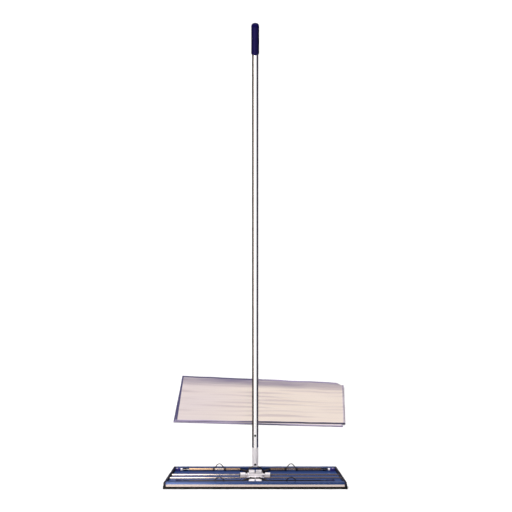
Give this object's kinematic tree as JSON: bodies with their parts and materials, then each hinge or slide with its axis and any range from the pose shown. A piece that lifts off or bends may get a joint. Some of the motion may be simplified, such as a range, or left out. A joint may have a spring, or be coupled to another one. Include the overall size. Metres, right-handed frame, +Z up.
{
  "type": "dust mop",
  "caption": "Dust mop with a long tube handle, a two-way swivel joint and a trapezoid head whose sprung clip bars grip a wrapped dusting cloth.",
  "frame": {"origin": "on the ground under the handle, in the middle of the sole", "axes": "+Z up along the handle, +X along the head's length, the long front edge of the head faces -Y"},
  "size_m": [0.608, 0.8591, 1.65],
  "materials": {
    "blue_metal": "polished blue anodised",
    "bare_aluminium": "polished",
    "navy_vinyl": "smooth navy vinyl",
    "white_nylon": "moulded white nylon",
    "dark_plastic": "moulded near black",
    "blue_plastic": "moulded navy",
    "sole_rubber": "matt black",
    "steel": "zinc plated",
    "dark_steel": "dark plated",
    "bronze": "bronze plated, satin",
    "cloth": "soft cream cloth"
  },
  "bodies": {
    "head": {"head_plate": "blue_metal", "left_end_cap": "dark_plastic", "right_end_cap": "dark_plastic", "rubber_sole": "sole_rubber", "joint_base": "white_nylon", "tilt_rod": "steel", "rod_caps": "dark_plastic", "base_screws": "dark_steel", "nut_plate": "steel", "ear_rivets": "bare_aluminium", "hinge_bushes": "white_nylon", "back_left_hinge_rod": "steel", "back_left_ear": "blue_plastic", "back_left_arm": "dark_steel", "back_left_spring": "dark_steel", "back_right_hinge_rod": "steel", "back_right_ear": "blue_plastic", "back_right_arm": "dark_steel", "back_right_spring": "dark_steel", "front_left_hinge_rod": "steel", "front_left_ear": "blue_plastic", "front_left_arm": "dark_steel", "front_left_spring": "dark_steel", "front_right_hinge_rod": "steel", "front_right_ear": "blue_plastic", "front_right_arm": "dark_steel", "front_right_spring": "dark_steel"},
    "yoke": {"swivel_yoke": "dark_steel", "eye_sleeves": "white_nylon"},
    "handle": {"handle_shank": "white_nylon", "swing_pin": "dark_steel", "swing_push_nut": "dark_steel", "shank_rivet": "dark_steel", "handle_tube": "bare_aluminium", "hand_grip": "navy_vinyl"},
    "back_left_clip": {"back_left_bar": "bronze", "back_left_loop": "dark_steel"},
    "back_right_clip": {"back_right_bar": "bronze", "back_right_loop": "dark_steel"},
    "front_left_clip": {"front_left_bar": "dark_steel", "front_left_loop": "dark_steel"},
    "front_right_clip": {"front_right_bar": "dark_steel", "front_right_loop": "dark_steel"},
    "cloth_pack": {"lower_cloth": "cloth", "upper_cloth": "cloth"}
  },
  "joints": [
    {"name": "handle_tilt", "type": "hinge", "parent": "head", "child": "yoke", "pos_m": [0, 0, 0.02], "axis": [1, 0, 0], "range_deg": [-70, 70]},
    {"name": "handle_swing", "type": "hinge", "parent": "yoke", "child": "handle", "pos_m": [0, 0, 0.061], "axis": [0, 1, 0], "range_deg": [-70, 70]},
    {"name": "back_left_clip_turn", "type": "hinge", "parent": "head", "child": "back_left_clip", "pos_m": [-0.118, 0.04455, 0.01705], "axis": [1, 0, 0], "range_deg": [0, 75], "stiffness_Nm_per_rad": 0.05, "springref_deg": -28.65, "deforming": ["back_left_spring"]},
    {"name": "back_right_clip_turn", "type": "hinge", "parent": "head", "child": "back_right_clip", "pos_m": [0.118, 0.04455, 0.01705], "axis": [1, 0, 0], "range_deg": [0, 75], "stiffness_Nm_per_rad": 0.05, "springref_deg": -28.65, "deforming": ["back_right_spring"]},
    {"name": "front_left_clip_turn", "type": "hinge", "parent": "head", "child": "front_left_clip", "pos_m": [-0.118, -0.04455, 0.01705], "axis": [-1, 0, 0], "range_deg": [0, 75], "stiffness_Nm_per_rad": 0.05, "springref_deg": -28.65, "deforming": ["front_left_spring"]},
    {"name": "front_right_clip_turn", "type": "hinge", "parent": "head", "child": "front_right_clip", "pos_m": [0.118, -0.04455, 0.01705], "axis": [-1, 0, 0], "range_deg": [0, 75], "stiffness_Nm_per_rad": 0.05, "springref_deg": -28.65, "deforming": ["front_right_spring"]},
    {"name": "cloth_lift", "type": "slide", "parent": "head", "child": "cloth_pack", "axis": [0, 0, 1], "range_m": [0, 0.1]}
  ]
}
